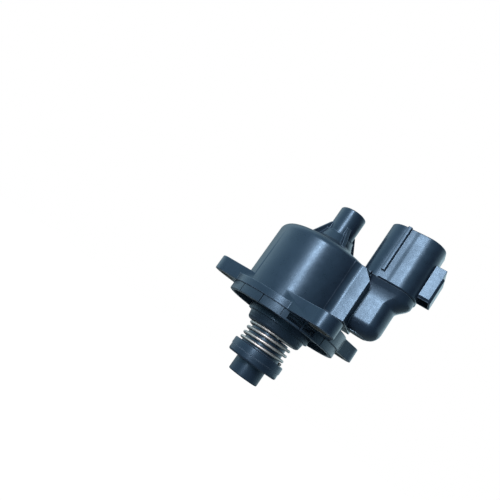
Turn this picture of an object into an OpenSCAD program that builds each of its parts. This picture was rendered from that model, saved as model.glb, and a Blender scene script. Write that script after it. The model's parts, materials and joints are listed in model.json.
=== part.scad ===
// Idle air control valve: a stepper motor that slides a sprung pintle out of its front.
// Origin: centre of the mounting face, where the flange meets the air passage body.
// +Z runs along the motor axis to the rear boss, +X towards the plug socket.

/* [Body] */
// Wall of the body round the stator
body_wall = 2.5; // [1.6:0.1:4]
// Thickness of the body's rear end over the stator, at the shoulder
roof_t = 4.3; // [4.2:0.1:6]
// Rounding of the rear shoulder
body_edge_r = 3; // [1:0.1:4]
// Width of the flat ring inside the rounded shoulder
shoulder_flat = 1.1; // [0.4:0.1:2]
// Depth of the step from that ring down to the roof
roof_step = 0.4; // [0.1:0.05:0.8]
// Rise of the conical roof from the shoulder to the boss
roof_rise = 3.6; // [2:0.1:6]

/* [Rear boss] */
// Wall of the rear boss
boss_wall = 1.7; // [1:0.1:3]
// Room round the lead screw inside the boss
boss_room = 1.1; // [0.4:0.1:1.6]
// Height of the boss above the shoulder
boss_h = 17.8; // [14:0.1:26]
// Thickness of the boss's closed end
boss_end_t = 2.3; // [1:0.1:4]
// How far the flared foot stands out round the boss
boss_foot_w = 2.2; // [1.4:0.1:4]
// Height of the flared foot above the shoulder
boss_foot_h = 7.4; // [5:0.1:10]
// Thickness of the gussets round the boss
gusset_t = 1.6; // [1:0.1:3]
// Number of gussets
gusset_count = 4; // [2:1:6]
// Direction of the first gusset
gusset_dir = 36; // [0:1:89]
// How far the gussets reach out from the boss
gusset_out = 5.2; // [3:0.1:8]
// Height of the gussets above the shoulder
gusset_h = 10.5; // [8:0.1:14]

/* [Flange] */
// Width of the thin flange lip round the body
lip_w = 3.1; // [2:0.1:5]
// Thickness of the flange lip
lip_t = 2.7; // [1.5:0.1:4]
// Thickness of the ears
ear_t = 5.6; // [4:0.1:7.6]
// Distance from the body's side to the hole in the first ear
ear_out_1 = 6.4; // [5.2:0.1:12]
// Distance from the body's side to the hole in the second ear
ear_out_2 = 8.6; // [5.2:0.1:12]
// Distance from the body's side to the hole in the third ear
ear_out_3 = 5.2; // [5.2:0.1:12]
// Hole through each ear's sleeve for an M5 screw
screw_hole_d = 5.5; // [5:0.1:6]
// Wall of the metal sleeve in each ear
limiter_wall = 1.25; // [0.8:0.05:1.6]
// Wall of the ears round the sleeves
ear_wall = 1.4; // [1:0.1:2.4]
// How far inside the body's side the ears' sides start
ear_root_in = 2.3; // [0.5:0.1:6]

/* [Front cap] */
// Width of the lip that is left round the cap
cap_edge = 0.6; // [0.3:0.1:1.5]
// Depth of the rim below the mounting face
cap_rim_h = 3.2; // [2.4:0.1:5]
// Wall of the rim
cap_rim_wall = 1.7; // [1:0.1:3]
// Thickness of the cap's plate behind the rim
cap_plate_t = 1.2; // [0.8:0.1:2]
// Gap between the cap's plate and the body that the weld ring fills
weld_gap = 0.3; // [0.2:0.05:0.6]
// Width of the pilot's step round the hub
pilot_step = 1.3; // [0.8:0.1:3]
// How far the pilot stands out past the rim
pilot_out = 1.6; // [0.6:0.1:3]
// How far the domed hub stands out past the pilot
hub_out = 3.3; // [2.4:0.1:5]
// Wall of the hub round the spring cup
hub_wall = 1.9; // [1.6:0.1:3]
// Rounding of the hub's end
hub_edge_r = 1.3; // [0.5:0.1:1.5]
// Room between the spring and the wall of its cup
cup_room = 0.4; // [0.3:0.05:0.8]
// Depth of the spring cup's floor below the mounting face
cup_floor_h = 1.6; // [1.2:0.1:2.4]
// Wall of the guide tube in the cup
guide_wall = 2; // [1.2:0.1:3]
// How far the guide tube's mouth lies inside the hub's mouth
guide_in = 2.5; // [1:0.1:4]
// Wall of the spigot inside the body
spigot_wall = 1.6; // [1:0.1:2.5]

/* [Connector] */
// Distance from the body's side to the socket's centre line
plug_out = 6.2; // [6:0.1:10]
// Outer width of the socket along X
plug_w = 20.8; // [19:0.1:24]
// Outer depth of the socket along Y
plug_l = 18.6; // [17:0.1:24]
// Corner radius of the socket
plug_corner_r = 6.6; // [4:0.1:8]
// Wall of the socket
plug_wall = 1.6; // [1:0.1:2.2]
// Height of the socket
plug_h = 21; // [18:0.1:28]
// How far the socket's lower edge lies below the body's shoulder
plug_drop = 1.1; // [0.6:0.1:1.4]
// Thickness of the socket's inner floor
plug_floor_t = 3.6; // [2.6:0.1:5]
// Distance from the socket's centre line to the right face of the arm under it
arm_out = 6.5; // [5:0.1:9]
// Width of the arm along Y
arm_l = 14; // [12:0.1:16]
// Gap between the ears and the underside of the arm
arm_gap = 2.6; // [1:0.1:3.4]
// Height over which the arm flares out to the socket
flare_h = 5.9; // [4:0.1:8]
// Rounding of the arm's edges
arm_edge_r = 4.6; // [3:0.1:5.4]
// Distance from the body's side to the face of the web between it and the arm
web_out = 1.9; // [0.8:0.1:3]
// Reach of the web to the side of the key rail
web_near = 12.5; // [11:0.1:14]
// Reach of the web to the other side, short of the third ear's screw
web_far = 8; // [7:0.1:8.4]
// How far the web's top lies below the shoulder
web_drop = 1.6; // [1.2:0.1:2.2]

/* [Key rail and latch] */
// Distance of the rail from the socket's left side
rail_in = 6.1; // [4:0.1:8]
// Width of the rail
rail_w = 1.6; // [1:0.1:2.4]
// How far the rail stands out of the socket
rail_out = 0.8; // [0.4:0.1:1.4]
// Width of the raised front panel beside the rail
panel_w = 4.3; // [2:0.1:5]
// How far the front panel stands out of the socket
panel_out = 0.15; // [0.1:0.05:0.4]
// Width of the latch ramp along Y
latch_l = 9; // [6:0.1:10]
// How far the latch ramp stands out of the socket
latch_out = 4.4; // [3:0.1:6]
// Distance from the socket's lower edge to the latch ramp
latch_low = 1.9; // [1:0.1:4]
// Height of the latch ramp
latch_h = 13; // [10:0.1:14]

/* [Terminals] */
// Number of terminals in each row
pins_per_row = 3; // [2:1:3]
// Spacing of the terminals in a row
pin_pitch = 4.5; // [4:0.1:5]
// Spacing of the two rows
row_pitch = 5.6; // [5:0.1:6.4]
// Width of a terminal
pin_w = 1; // [0.6:0.05:1.2]
// Thickness of a terminal
pin_t = 0.64; // [0.5:0.02:0.8]
// Height of the terminals above the socket's floor
pin_h = 12.1; // [9:0.1:14]

/* [Stator] */
// Height of one phase
phase_h = 9.4; // [8.6:0.1:12]
// Sheet thickness of the stator cups
cup_sheet = 0.8; // [0.6:0.05:1]
// Gap between the magnet and the pole teeth
air_gap = 0.3; // [0.2:0.05:0.6]
// Number of teeth on each cup
tooth_count = 6; // [4:1:8]
// Width of a tooth at its root
tooth_root_w = 4.2; // [3:0.1:4.6]
// Width of a tooth at its tip
tooth_tip_w = 2.2; // [1.4:0.1:3]
// Wall of the bobbins
bobbin_wall = 0.8; // [0.5:0.05:1]
// Depth of the winding
coil_t = 4.26; // [3:0.02:6]
// How far the bobbins' flanges stand out past the winding
bobbin_lip = 1.47; // [1:0.01:3]

/* [Rotor] */
// Outer diameter of the rotor magnet
magnet_d = 17.4; // [15:0.1:20]
// Room round the lead screw for its stop collar
relief_w = 1.4; // [1.3:0.05:1.6]
// Wall of the sleeve's front journal round that room
front_wall = 1.1; // [1:0.1:1.6]
// Height of the shoulder that the front bearing seats against, on its radius
journal_step = 0.2; // [0.1:0.05:0.4]
// Wall of the sleeve's rear journal
rear_wall = 1.41; // [1:0.01:1.6]
// Room left above the collar when the pintle is in
relief_room = 2.3; // [0.5:0.1:4]
// Width of the front ball bearing's section
bearing_w = 4.5; // [4:0.1:5]
// Height of the front ball bearing
bearing_h = 5; // [4.6:0.1:5]
// Thickness of the bearing's rings
race_t = 1.3; // [1:0.05:1.5]
// Diameter of the bearing balls
ball_d = 2.8; // [2.4:0.1:2.9]
// Number of bearing balls
ball_count = 8; // [6:1:10]
// Wall of the rear bush
bush_wall = 1.97; // [1.4:0.01:2.5]
// Height of the rear bush
bush_h = 4; // [3:0.1:4]

/* [Lead screw and pintle] */
// Diameter of the lead screw
screw_d = 5; // [4:0.1:5.2]
// How far the screw stands out of the rear bush when the pintle is out
screw_proud = 2.3; // [1:0.1:5]
// Diameter of the screw's guided shank
shank_d = 6; // [5.6:0.1:6.4]
// Depth of each of the shank's two flats
flat_cut = 0.6; // [0.3:0.05:0.8]
// Full travel of the pintle
travel = 7; // [4:0.1:7]
// Gap left between the hub and the disc when the pintle is in
disc_clearance = 0.97; // [0.6:0.01:3]
// How far the pintle's disc stands out past the spring
disc_lip = 1.2; // [0.6:0.1:2]
// Height of the disc
disc_h = 5.2; // [4:0.1:7]
// Height of the disc's wider upper band
disc_band_h = 2.8; // [1:0.1:3.4]
// How much narrower the disc's lower band is, on its radius
disc_step = 0.2; // [0.1:0.05:0.6]
// Diameter of the nose
nose_d = 12; // [9:0.1:14]
// Height of the nose
nose_h = 5.6; // [3:0.1:9]
// Chamfer of the nose's end
nose_chamfer = 0.9; // [0.3:0.1:1.4]

/* [Spring] */
// Outer diameter of the spring
spring_d = 18.2; // [17.6:0.1:18.6]
// Wire diameter of the spring
wire_d = 0.9; // [0.6:0.05:1]
// Number of turns
spring_turns = 8; // [5:0.5:8]

/* [Hidden] */

$fn = 96;
// Small overlap that joins solids of one piece
eps = 0.01;
// Slip clearance between pieces that are assembled by hand
slip = 0.05;
// Radial clearance of a running fit
run = 0.06;
// Radial clearance of a pressed or moulded-in piece
press = 0.02;
black = [0.09, 0.1, 0.12];
dark = [0.14, 0.15, 0.17];
steel = [0.72, 0.73, 0.75];
zinc = [0.6, 0.62, 0.64];
copper = [0.72, 0.4, 0.22];
bronze = [0.62, 0.5, 0.3];
nylon = [0.86, 0.84, 0.76];
ferrite = [0.2, 0.2, 0.21];

// Motor, from the magnet outwards
tooth_bore_d = magnet_d + 2 * air_gap;
tooth_od = tooth_bore_d + 2 * cup_sheet;
bobbin_id = tooth_od + 2 * slip;
coil_id = bobbin_id + 2 * bobbin_wall + 2 * press;
coil_d = coil_id + 2 * coil_t;
bobbin_d = coil_d + 2 * bobbin_lip;
bore_d = bobbin_d + 2 * cup_sheet + 4 * slip;
body_d = bore_d + 2 * body_wall;
body_r = body_d / 2;

// Lead screw, journals and bearings, from the screw outwards
screw_bore_d = screw_d + 2 * run;
relief_d = screw_d + 2 * relief_w;
collar_d = relief_d - 0.6;
front_journal_d = relief_d + 2 * front_wall;
sleeve_d = front_journal_d + 2 * journal_step;
rear_journal_d = screw_bore_d + 2 * rear_wall;
bearing_d = front_journal_d + 2 * bearing_w;
bush_d = rear_journal_d + 2 * run + 2 * bush_wall;
boss_bore_d = screw_d + 2 * boss_room;
boss_d = boss_bore_d + 2 * boss_wall;
boss_r = boss_d / 2;

// Rear end: inner side of the flat ring, and the foot and collar of the boss
roof_r = body_r - body_edge_r - shoulder_flat;
foot_r = boss_r + boss_foot_w;
boss_collar_w = 0.9;
boss_collar_h = 0.8;

// Flange and front cap
lip_d = body_d + 2 * lip_w;
cap_d = lip_d - 2 * cap_edge;
limiter_d = screw_hole_d + 2 * limiter_wall;
ear_tip_d = limiter_d + 2 * ear_wall;
ear_root_d = body_d - 2 * ear_root_in;
ear_dirs = [195, 311, 32];
ear_reaches = [body_r + ear_out_1, body_r + ear_out_2, body_r + ear_out_3];
cup_d = spring_d + 2 * cup_room;
hub_d = cup_d + 2 * hub_wall;
pilot_d = hub_d + 2 * pilot_step;
pilot_h = cap_rim_h + pilot_out;
hub_h = pilot_h + hub_out;
guide_d = shank_d + 2 * guide_wall;
guide_h = hub_h - guide_in;
flat_w = shank_d - 2 * flat_cut;
// Radius of the weld ring's inner side past the bore, and its width
weld_in = 0.9;
weld_w = 1.6;
// Directions of the slits round the rim and of the pockets behind it
slit_dirs = [214, 236, 262, 284, 304, 330];
pocket_dirs = [20, 80, 140, 200, 260, 320];

// Heights along the axis
bearing_z = 0.4;
spigot_h = bearing_z + bearing_h;
stator_z = spigot_h + 0.2;
phase_gap = 0.1;
bore_top = stator_z + 2 * phase_h + 0.3;
body_h = bore_top + roof_t;
boss_top = body_h + boss_h;
screw_top = bore_top + bush_h + screw_proud;
collar_z = 0.1;
collar_h = 1;
relief_top = collar_z + collar_h + travel + relief_room;
disc_top = hub_h + travel + disc_clearance;
disc_bottom = disc_top + disc_h;
nose_bottom = disc_bottom + nose_h;
disc_d = spring_d + 2 * disc_lip;
seat_h = 1.4;
seat_d = spring_d - 2 * wire_d - 0.6;

// Socket, arm and web
plug_x = body_r + plug_out;
plug_left = plug_x - plug_w / 2;
plug_right = plug_x + plug_w / 2;
plug_bottom = body_h - plug_drop;
plug_top = plug_bottom + plug_h;
plug_floor = plug_bottom + plug_floor_t;
pin_top = plug_floor + pin_h;
arm_x = plug_x + arm_out;
arm_bottom = ear_t + arm_gap;
arm_flare = plug_bottom - flare_h;
web_x = body_r + web_out;
web_bottom = arm_bottom - 0.4;
web_top = body_h - web_drop;
// How far the arm reaches into the web
arm_in = 8;
latch_bottom = plug_bottom + latch_low;
latch_top = latch_bottom + latch_h;

// Heights at which the two phases' terminals leave the bobbins, and their windows
phase_mid = [stator_z + phase_h / 2, stator_z + phase_gap + phase_h * 1.5];
window_half = pin_pitch * (pins_per_row - 1) / 2 + 1.6;
window_h = 2.4;
// How far the terminals reach into the bobbins
pin_in = 1.8;
// Direction of the spring's front end
spring_start = 20;

// Flat ring between two diameters
module ring(od, id, h) {
  linear_extrude(h) difference() {
    circle(d = od);
    circle(d = id);
  }
}

// Rectangle with round corners, centred
module round_rect(w, l, r, fn = 48) {
  union() {
    square([w - 2 * r, l], center = true);
    square([w, l - 2 * r], center = true);
    for (x = [-1, 1], y = [-1, 1])
      translate([x * (w / 2 - r), y * (l / 2 - r)]) circle(r = r, $fn = fn);
  }
}

// Outline of one ear: a round tip whose sides run tangent onto the root circle
module ear_outline(i) {
  tip_r = ear_tip_d / 2;
  root_r = ear_root_d / 2;
  reach = ear_reaches[i];
  side_r = tip_r - 0.02;
  a = acos((root_r - tip_r) / reach);
  rotate(ear_dirs[i]) union() {
    translate([reach, 0]) circle(r = tip_r, $fn = 64);
    polygon([
      [reach + side_r * cos(a), side_r * sin(a)],
      [root_r * cos(a), root_r * sin(a)],
      [root_r * cos(a), -root_r * sin(a)],
      [reach + side_r * cos(a), -side_r * sin(a)]
    ]);
  }
}

// Height of the conical roof at a distance from the axis
function roof_z(r) = body_h - roof_step + (roof_rise + roof_step) * (roof_r - r) / (roof_r - foot_r);

// Body of revolution: wall, rounded shoulder, conical roof, flared foot and boss
module body_shell() {
  shoulder = body_r - body_edge_r;
  collar_r = boss_r + boss_collar_w;
  end_r = 0.5;
  rotate_extrude() union() {
    square([body_r, body_h - body_edge_r]);
    square([shoulder, body_h - roof_step]);
    translate([roof_r, 0]) square([shoulder_flat, body_h]);
    translate([shoulder, body_h - body_edge_r]) circle(r = body_edge_r, $fn = 48);
    polygon([[0, 0], [roof_r, roof_z(roof_r)], [foot_r, roof_z(foot_r)],
      [collar_r, body_h + boss_foot_h - boss_collar_h], [collar_r, body_h + boss_foot_h],
      [0, body_h + boss_foot_h]]);
    square([boss_r, boss_top - end_r]);
    square([boss_r - end_r, boss_top]);
    translate([boss_r - end_r, boss_top - end_r]) circle(r = end_r, $fn = 32);
  }
}

// Triangular ribs between the roof and the boss
module gussets() {
  reach = boss_r + gusset_out;
  root_z = bore_top + roof_t / 2;
  for (i = [0:gusset_count - 1])
    rotate(gusset_dir + i * 360 / gusset_count)
      rotate([90, 0, 0]) linear_extrude(gusset_t, center = true)
        polygon([[0, root_z], [reach, root_z], [reach, roof_z(reach)],
          [boss_r + 0.4, body_h + gusset_h], [0, body_h + gusset_h]]);
}

// Thin lip, three thick ears and the thick rim between the two close ears
module flange() {
  cylinder(h = lip_t, d = lip_d);
  linear_extrude(ear_t) {
    for (i = [0:2]) ear_outline(i);
    intersection() {
      circle(d = lip_d);
      polygon([[0, 0], lip_d * [cos(ear_dirs[1]), sin(ear_dirs[1])],
        [2 * lip_d, 0], lip_d * [cos(ear_dirs[2]), sin(ear_dirs[2])]]);
    }
  }
}

// Concave fillet where the round body meets the flat side of the web
module web_fillet(side) {
  half = side < 0 ? web_near : web_far;
  r = side < 0 ? 4 : 1.5;
  bite = 0.04;
  reach = body_r + r - bite;
  c = [sqrt(pow(reach, 2) - pow(half + r - bite, 2)), side * (half + r - bite)];
  difference() {
    polygon([c * (body_r - 0.5) / reach, [c[0] - 3, side * half / 2],
      [c[0] + 0.6, side * (half - 0.5)], [c[0] + 0.6, side * half], c]);
    translate(c) circle(r = r, $fn = 48);
  }
}

// Web that joins the round body to the arm, with a slanted top edge
module web() {
  slant = 1.3;
  crest = web_top + 0.4;
  translate([0, web_far, 0]) rotate([90, 0, 0]) linear_extrude(web_near + web_far)
    polygon([[0, web_bottom], [web_x, web_bottom], [web_x, crest - slant],
      [web_x - 2 * web_out, crest], [0, crest]]);
  translate([0, 0, web_bottom]) linear_extrude(crest - 1.5 * slant - web_bottom)
    for (side = [-1, 1]) web_fillet(side);
}

// Hollow-cornered elbow under the socket, flaring out to the socket's size
module arm() {
  r = arm_edge_r;
  root_x = web_x - arm_in;
  hull() {
    for (y = [-1, 1]) {
      translate([arm_x - r, y * (arm_l / 2 - r), arm_bottom + r]) sphere(r = r, $fn = 32);
      translate([arm_x - r, y * (arm_l / 2 - r), arm_flare]) cylinder(r = r, h = eps, $fn = 32);
    }
    translate([root_x, -arm_l / 2, arm_bottom + r]) cube([eps, arm_l, arm_flare - arm_bottom - r]);
    translate([root_x, -arm_l / 2 + r, arm_bottom]) cube([eps, arm_l - 2 * r, r]);
  }
  // The flare reaches a little way into the socket and into the arm
  inset = 0.1;
  shelf = 2.3;
  hull() {
    translate([plug_x, 0, plug_bottom]) linear_extrude(0.4)
      round_rect(plug_w - 2 * inset, plug_l - 2 * inset, plug_corner_r - inset, 32);
    translate([plug_x, 0, plug_bottom - shelf]) linear_extrude(0.2)
      round_rect(plug_w + 2 * inset, arm_l + 8 * inset, plug_corner_r - 1, 32);
    translate([(arm_x + root_x) / 2, 0, arm_flare - 0.6])
      linear_extrude(0.2) round_rect(arm_x - root_x - 2 * inset, arm_l - 2 * inset, r, 32);
  }
}

// Socket wall with its key rail, raised front panel and latch ramp
module socket_outside() {
  front = -plug_l / 2;
  sunk = plug_wall / 2;
  rail_low = 2.8;
  panel_gap = 2.4;
  translate([plug_x, 0, plug_bottom]) linear_extrude(plug_h)
    round_rect(plug_w, plug_l, plug_corner_r);
  translate([plug_left + rail_in, front - rail_out, plug_bottom + rail_low])
    cube([rail_w, rail_out + sunk, plug_h - rail_low + 0.1]);
  translate([plug_left + rail_in + rail_w + panel_gap, front - panel_out, plug_bottom])
    cube([panel_w, panel_out + sunk, plug_h]);
  latch();
}

// Latch ramp: a block with a step near its upper end
module latch() {
  root_x = plug_right - plug_wall / 2;
  face_x = plug_right + latch_out;
  step_h = 3;
  step_in = 0.8;
  rotate([90, 0, 0]) linear_extrude(latch_l, center = true)
    polygon([[root_x, latch_bottom], [face_x, latch_bottom],
      [face_x, latch_top - step_h], [face_x - step_in, latch_top - step_h],
      [face_x - step_in, latch_top], [root_x, latch_top]]);
}

// One terminal: level leg from the bobbin, upright blade with a pointed tip
module terminal(i, grow = 0) {
  row = floor(i / pins_per_row);
  y = (i % pins_per_row - (pins_per_row - 1) / 2) * pin_pitch;
  x = plug_x + (row == 0 ? 1 : -1) * row_pitch / 2;
  z = phase_mid[row];
  tip = 1.2;
  start = bore_d / 2 - pin_in;
  translate([0, y - pin_w / 2 - grow, 0]) union() {
    translate([start - grow, 0, z - pin_t / 2 - grow])
      cube([x - start + pin_t / 2 + 2 * grow, pin_w + 2 * grow, pin_t + 2 * grow]);
    translate([x - pin_t / 2 - grow, 0, z])
      cube([pin_t + 2 * grow, pin_w + 2 * grow, pin_top - tip - z]);
  }
  translate([x, y, pin_top - tip]) rotate([90, 0, 0])
    linear_extrude(pin_w + 2 * grow, center = true)
      polygon([[-pin_t / 2 - grow, 0], [pin_t / 2 + grow, 0], [pin_t / 6, tip], [-pin_t / 6, tip]]);
}

module housing() {
  color(black) difference() {
    union() {
      body_shell();
      gussets();
      flange();
      web();
      arm();
      socket_outside();
    }
    // Stator bore, bush pocket, screw bore and recess over the cap's plate
    translate([0, 0, -eps]) cylinder(h = bore_top + eps, d = bore_d);
    translate([0, 0, bore_top - eps]) cylinder(h = bush_h + eps, d = bush_d + 2 * slip);
    translate([0, 0, bore_top]) cylinder(h = boss_top - boss_end_t - bore_top, d = boss_bore_d);
    translate([0, 0, -eps]) cylinder(h = weld_gap + eps, d = cap_d + 2 * slip);
    // Socket cavity
    translate([plug_x, 0, plug_floor]) linear_extrude(plug_h)
      round_rect(plug_w - 2 * plug_wall, plug_l - 2 * plug_wall, plug_corner_r - plug_wall);
    // Seats of the ears' sleeves
    for (i = [0:2]) rotate(ear_dirs[i]) translate([ear_reaches[i], 0, -1])
      cylinder(h = ear_t + 2, d = limiter_d + 2 * slip);
    // Passages that the terminals are moulded into
    for (i = [0:2 * pins_per_row - 1]) terminal(i, press);
  }
}

// Short hub with a slight draft and a rounded end
module hub() {
  end_d = hub_d - 0.6;
  waist = pilot_h + 0.6;
  foot = hub_h - hub_edge_r;
  translate([0, 0, -waist]) cylinder(h = waist, d = hub_d);
  translate([0, 0, -foot]) cylinder(h = foot - waist, d1 = end_d, d2 = hub_d);
  translate([0, 0, -hub_h]) cylinder(h = hub_edge_r + 0.1, d = end_d - 2 * hub_edge_r);
  translate([0, 0, -foot]) rotate_extrude()
    translate([end_d / 2 - hub_edge_r, 0]) circle(r = hub_edge_r, $fn = 48);
}

// Cap with rim, pilot and hub, open as a cup for the spring
module front_cap() {
  spigot_d = bore_d - 2 * slip;
  race_seat_d = bearing_d + 2 * press;
  race_seat_wall = 1.2;
  // Under the inner ring the floor lies lower than under the outer ring
  sunk_floor_d = race_seat_d - 2 * race_t - 0.6;
  color(dark) difference() {
    union() {
      translate([0, 0, -cap_plate_t]) cylinder(h = cap_plate_t, d = cap_d);
      translate([0, 0, -cap_rim_h]) ring(cap_d, cap_d - 2 * cap_rim_wall, cap_rim_h);
      translate([0, 0, -pilot_h]) cylinder(h = pilot_h, d = pilot_d);
      hub();
      // Spigot and bearing seat inside the body
      translate([0, 0, -eps]) ring(spigot_d, spigot_d - 2 * spigot_wall, spigot_h + eps);
      translate([0, 0, -eps]) cylinder(h = spigot_h + eps, d = race_seat_d + 2 * race_seat_wall);
      // Ring that is welded to the body
      translate([0, 0, -eps])
        ring(bore_d + 2 * (weld_in + weld_w), bore_d + 2 * weld_in, weld_gap + eps);
    }
    // Spring cup round the guide tube
    translate([0, 0, -hub_h - 1]) ring(cup_d, guide_d, hub_h + 1 - cup_floor_h);
    translate([0, 0, -hub_h - 1]) cylinder(h = hub_h + 1 - guide_h, d = guide_d + 1);
    // Bearing seat and the relief under the inner race
    translate([0, 0, bearing_z]) cylinder(h = spigot_h, d = race_seat_d);
    translate([0, 0, 0.05]) cylinder(h = spigot_h, d = sunk_floor_d);
    guide_hole();
    rim_slits();
    channel_pockets();
  }
}

// Hole for the shank, with two flats that stop it turning
module guide_hole() {
  translate([0, 0, -hub_h - 1]) linear_extrude(hub_h + 2) intersection() {
    circle(d = shank_d + 2 * run);
    square([shank_d + 1, flat_w + 2 * run], center = true);
  }
}

// Fine slits over the whole height of the rim
module rim_slits() {
  slit_w = 0.4;
  slit_in = 0.6;
  for (dir = slit_dirs) rotate(dir)
    translate([cap_d / 2 - slit_in, -slit_w / 2, -cap_rim_h - eps])
      cube([slit_in + 1, slit_w, cap_rim_h + 2 * eps]);
}

// Deeper pockets in the channel between rim and pilot
module channel_pockets() {
  pocket_w = 5;
  edge = 1.2;
  depth = 0.7;
  channel = cap_d / 2 - cap_rim_wall - pilot_d / 2;
  for (dir = pocket_dirs) rotate(dir)
    translate([pilot_d / 2 + edge, -pocket_w / 2, -cap_plate_t - eps])
      cube([channel - 2 * edge, pocket_w, depth + eps]);
}

module limiter(i) {
  color(zinc) rotate(ear_dirs[i]) translate([ear_reaches[i], 0, 0]) ring(limiter_d, screw_hole_d, ear_t);
}

// One pressed steel cup: plate, half of the outer wall and a ring of pole teeth
module stator_cup(phase, upper) {
  z0 = stator_z + phase * (phase_h + phase_gap);
  plate_od = bore_d - 2 * slip;
  tooth_h = phase_h - cup_sheet - 1;
  // The plate's edge is rounded back a little behind the teeth
  plate_id = tooth_bore_d + 0.3;
  translate([0, 0, upper ? z0 + phase_h : z0]) mirror([0, 0, upper ? 1 : 0])
    color(zinc) difference() {
      union() {
        ring(plate_od, plate_id, cup_sheet);
        ring(plate_od, plate_od - 2 * cup_sheet, phase_h / 2 - 0.01);
        rotate(upper ? 180 / tooth_count : 0) intersection() {
          ring(tooth_od, tooth_bore_d, cup_sheet + tooth_h);
          for (i = [0:tooth_count - 1]) rotate(i * 360 / tooth_count)
            rotate([90, 0, 90]) linear_extrude(plate_od / 2)
              polygon([[-tooth_root_w / 2, 0], [tooth_root_w / 2, 0],
                [tooth_tip_w / 2, cup_sheet + tooth_h], [-tooth_tip_w / 2, cup_sheet + tooth_h]]);
        }
      }
      translate([tooth_od / 2 + 1, -window_half, phase_h / 2 - window_h / 2 - slip])
        cube([plate_od, 2 * window_half, window_h]);
    }
}

// Moulded bobbin with the block that holds the terminals' inner ends
module bobbin(phase) {
  z0 = stator_z + phase * (phase_h + phase_gap) + cup_sheet + slip;
  h = phase_h - 2 * cup_sheet - 2 * slip;
  id = bobbin_id;
  od = bobbin_d;
  guard_w = 1.4;
  color(nylon) difference() {
    union() {
      translate([0, 0, z0]) ring(id + 2 * bobbin_wall, id, h);
      translate([0, 0, z0]) ring(od, id, bobbin_wall);
      translate([0, 0, z0 + h - bobbin_wall]) ring(od, id, bobbin_wall);
      intersection() {
        translate([0, -window_half + slip, phase_mid[phase] - window_h / 2 + 2 * slip])
          cube([bore_d, 2 * window_half - 2 * slip, window_h - 4 * slip]);
        translate([0, 0, z0]) ring(bore_d - 2 * slip, coil_d + 2 * press, h);
      }
      for (side = [-1, 1]) intersection() {
        translate([coil_d / 2 + slip, side * (window_half - 0.8) - guard_w / 2, z0])
          cube([bobbin_lip + 1, guard_w, h]);
        translate([0, 0, z0]) cylinder(h = h, d = od);
      }
    }
    for (i = [0:2 * pins_per_row - 1]) terminal(i, press);
  }
}

module coil(phase) {
  z0 = stator_z + phase * (phase_h + phase_gap) + cup_sheet + slip + bobbin_wall + press;
  h = phase_h - 2 * cup_sheet - 2 * slip - 2 * bobbin_wall - 2 * press;
  color(copper) translate([0, 0, z0]) ring(coil_d, coil_id, h);
}

// Ball track centre: half way between the bearing's bore and outside
function track_r() = (bearing_d + front_journal_d) / 4;

module race(od, id) {
  color(steel) translate([0, 0, bearing_z]) rotate_extrude() difference() {
    translate([id / 2, 0]) square([(od - id) / 2, bearing_h]);
    translate([track_r(), bearing_h / 2]) circle(d = ball_d + 0.4, $fn = 48);
  }
}

module bearing_outer() {
  race(bearing_d, bearing_d - 2 * race_t);
}

module bearing_inner() {
  race(front_journal_d + 2 * race_t, front_journal_d);
}

module bearing_balls() {
  color(steel) for (i = [0:ball_count - 1]) rotate(i * 360 / ball_count)
    translate([track_r(), 0, bearing_z + bearing_h / 2]) sphere(d = ball_d, $fn = 32);
}

module rear_bush() {
  color(bronze) translate([0, 0, bore_top]) ring(bush_d, rear_journal_d + 2 * run, bush_h);
}

module rotor_magnet() {
  color(ferrite) translate([0, 0, stator_z + 0.6]) difference() {
    cylinder(h = 2 * phase_h - 1.2, d = magnet_d);
    translate([0, 0, -1]) cylinder(h = 2 * phase_h + 1, d = sleeve_d + 2 * press);
  }
}

// Moulded sleeve: journals at both ends, a nut bore and a relief for the collar
module rotor_sleeve() {
  top = bore_top + bush_h - 0.2;
  color(nylon) difference() {
    union() {
      translate([0, 0, 0.6]) cylinder(h = spigot_h - 0.4, d = front_journal_d - 2 * press);
      translate([0, 0, bearing_z + bearing_h + slip])
        cylinder(h = bore_top - 0.2 - bearing_z - bearing_h - slip, d = sleeve_d);
      translate([0, 0, bore_top - 0.3]) cylinder(h = top - bore_top + 0.3, d = rear_journal_d);
    }
    translate([0, 0, -1]) cylinder(h = top + 2, d = screw_bore_d);
    translate([0, 0, -1]) cylinder(h = relief_top + 1, d = relief_d);
  }
}

// Screw with a stop collar and a guided shank that enters the pintle
module lead_screw() {
  tip = disc_bottom - 1;
  color(steel) {
    translate([0, 0, 0.8]) cylinder(h = screw_top - 1.4, d = screw_d);
    translate([0, 0, screw_top - 0.6 - eps]) cylinder(h = 0.6, d1 = screw_d, d2 = screw_d - 1.2);
    translate([0, 0, collar_z]) cylinder(h = collar_h, d = collar_d);
    translate([0, 0, -tip]) linear_extrude(tip + 0.2) intersection() {
      circle(d = shank_d);
      square([shank_d + 1, flat_w], center = true);
    }
  }
}

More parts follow.
